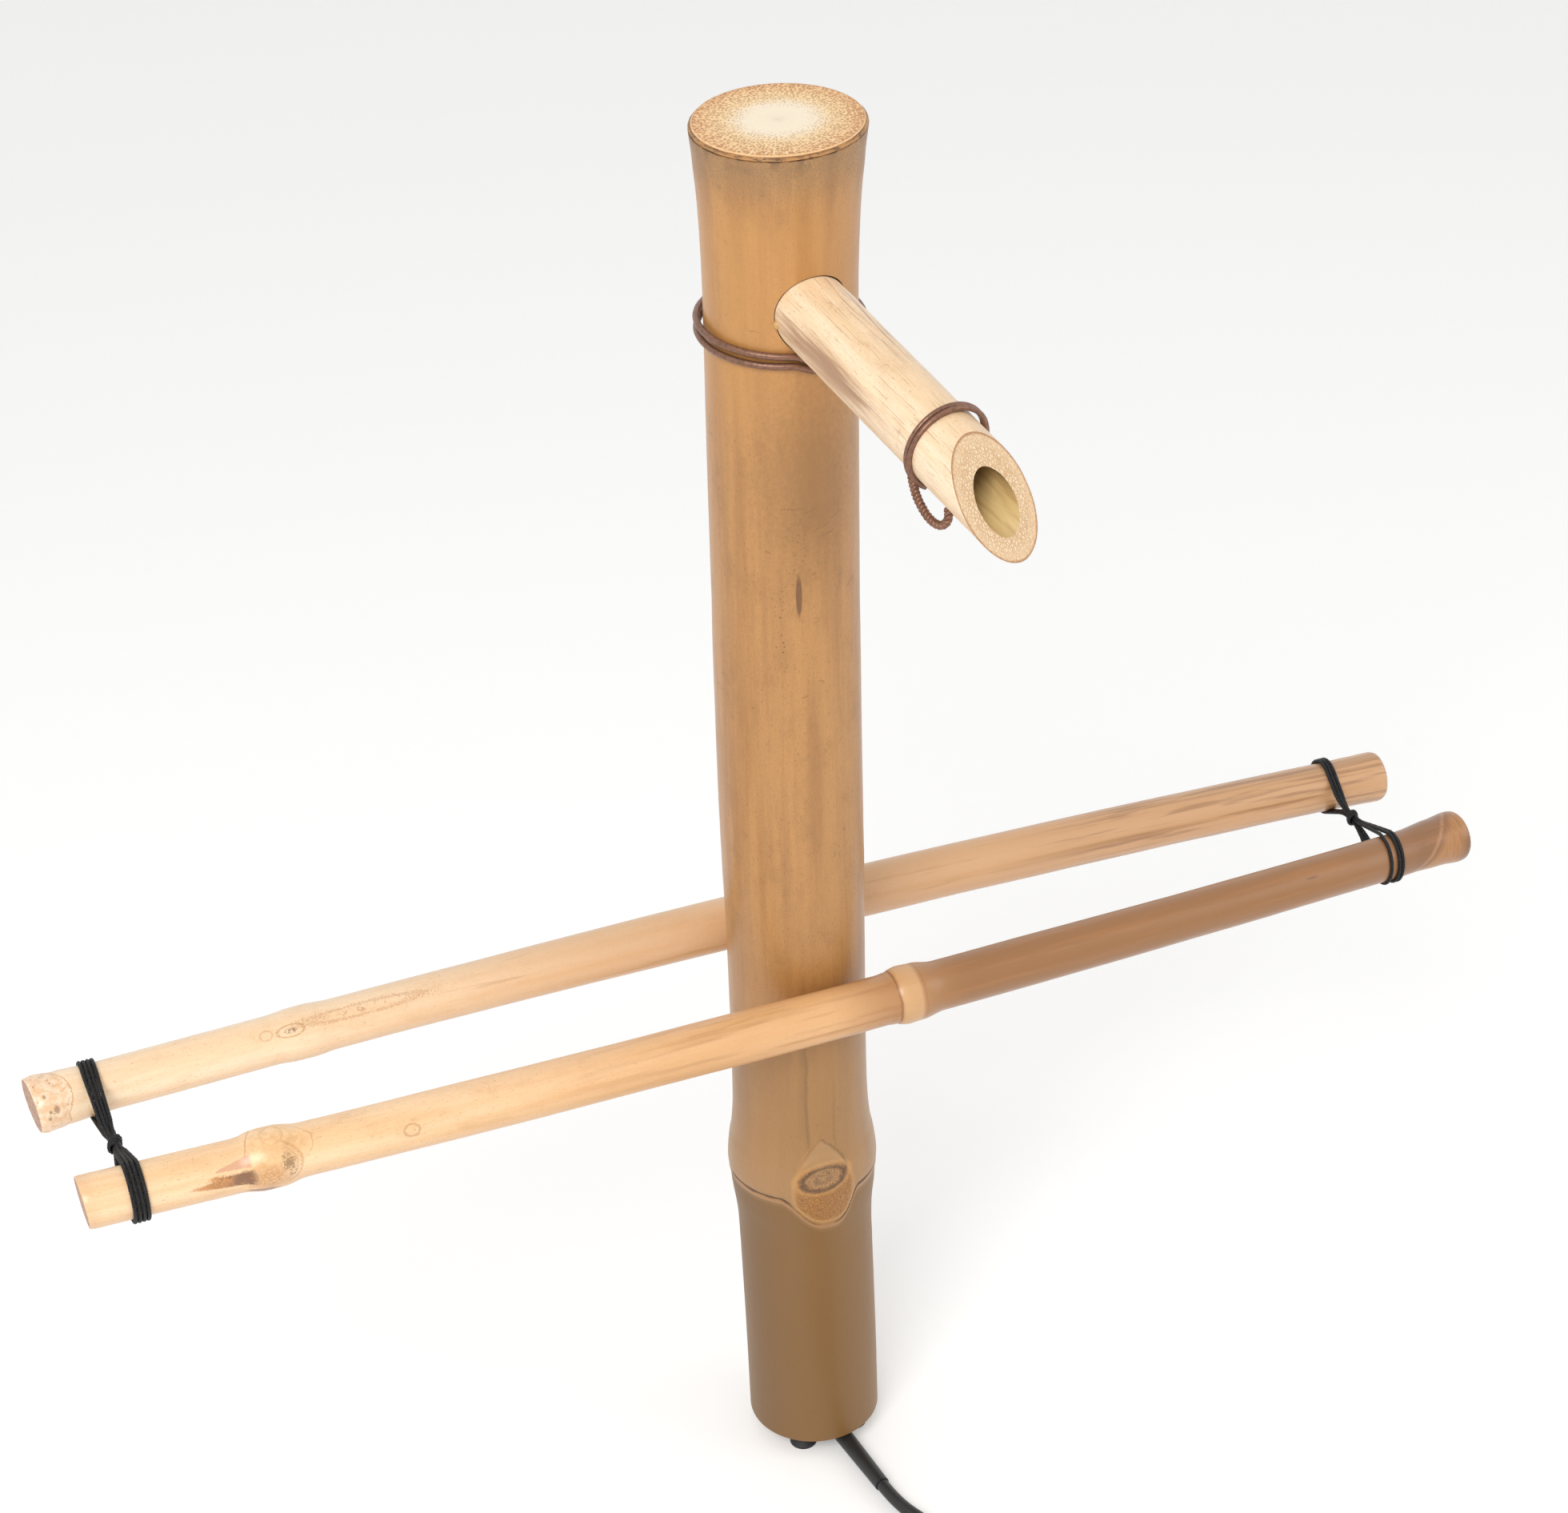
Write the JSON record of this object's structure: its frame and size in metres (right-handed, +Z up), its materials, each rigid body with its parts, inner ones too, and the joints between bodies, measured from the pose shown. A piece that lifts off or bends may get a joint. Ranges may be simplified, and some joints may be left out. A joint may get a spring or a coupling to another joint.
{
  "type": "bamboo water spout fountain",
  "caption": "Upright bamboo post fountain with a slanted spout, two tied poles that rest on a tub rim, and a small submersible pump inside its foot.",
  "frame": {"origin": "on the surface it stands on, under the post's axis", "axes": "+Z up along the post; X along the two poles; the spout leaves towards -Y, turned 7.35 degrees towards +X"},
  "size_m": [0.6224, 0.3119, 0.6195],
  "materials": {
    "bamboo_culm": "dry tan bamboo, satin skin with fine upright fibres",
    "bamboo_spout": "pale peach bamboo, satin, grey-brown streaks",
    "rear_cane": "peach-yellow cane, semi-gloss",
    "front_cane": "tan-orange to brown cane, semi-gloss",
    "waxed_string": "black waxed twisted string",
    "copper_wire": "dark copper-brown annealed wire",
    "clear_glue": "clear dried glue",
    "vinyl_tube": "clear soft vinyl",
    "pump_shell": "black moulded plastic, satin",
    "gate_plastic": "dark grey plastic",
    "stator_iron": "laminated iron",
    "copper_winding": "enamelled copper",
    "ferrite": "dark ferrite",
    "impeller_plastic": "white nylon",
    "shaft_steel": "ground shaft",
    "bush_rubber": "soft black rubber",
    "foot_rubber": "black rubber",
    "lead_rubber": "black mains lead jacket, satin",
    "band_plastic": "black plastic band",
    "plug_plastic": "black moulded plug",
    "plug_brass": "plain brass blades and pin"
  },
  "bodies": {
    "pump": {"pump_housing": "pump_shell", "motor_seal_plate": "pump_shell", "volute_cover": "pump_shell", "intake_cover": "pump_shell", "outlet_nozzle": "pump_shell", "stator_core": "stator_iron", "stator_coil": "copper_winding", "impeller_shaft": "shaft_steel", "shaft_bushes": "bush_rubber", "suction_foot_1": "foot_rubber", "suction_foot_2": "foot_rubber", "suction_foot_3": "foot_rubber", "suction_foot_4": "foot_rubber", "strain_relief": "lead_rubber", "mains_lead": "lead_rubber", "lead_coil": "lead_rubber", "coil_band": "band_plastic", "plug_lead": "lead_rubber", "plug_body": "plug_plastic", "plug_blades": "plug_brass", "plug_earth_pin": "plug_brass"},
    "post": {"post": "bamboo_culm", "spout": "bamboo_spout", "glue_bead": "clear_glue", "water_tube": "vinyl_tube", "post_wire": "copper_wire", "spout_wire": "copper_wire", "spout_wire_tail": "copper_wire"},
    "poles": {"rear_pole": "rear_cane", "front_pole": "front_cane", "left_tie": "waxed_string", "left_tie_cinch": "waxed_string", "right_tie": "waxed_string", "right_tie_cinch": "waxed_string"},
    "impeller": {"impeller": "impeller_plastic", "rotor_magnet": "ferrite"},
    "flow_gate": {"flow_gate": "gate_plastic"}
  },
  "joints": [
    {"name": "post_turn", "type": "hinge", "parent": "pump", "child": "post", "pos_m": [0, 0, 0.0478], "axis": [0, 0, 1], "range_deg": [-90, 90]},
    {"name": "poles_slide", "type": "slide", "parent": "pump", "child": "poles", "axis": [0, 0, 1], "range_m": [-0.05, 0.24]},
    {"name": "impeller_spin", "type": "hinge", "parent": "pump", "child": "impeller", "pos_m": [0, 0, 0.0305], "axis": [-0.1045, 0.9945, 0], "continuous": true},
    {"name": "flow_gate_slide", "type": "slide", "parent": "pump", "child": "flow_gate", "axis": [0, 0, 1], "range_m": [-0.0065, 0.0095]}
  ]
}
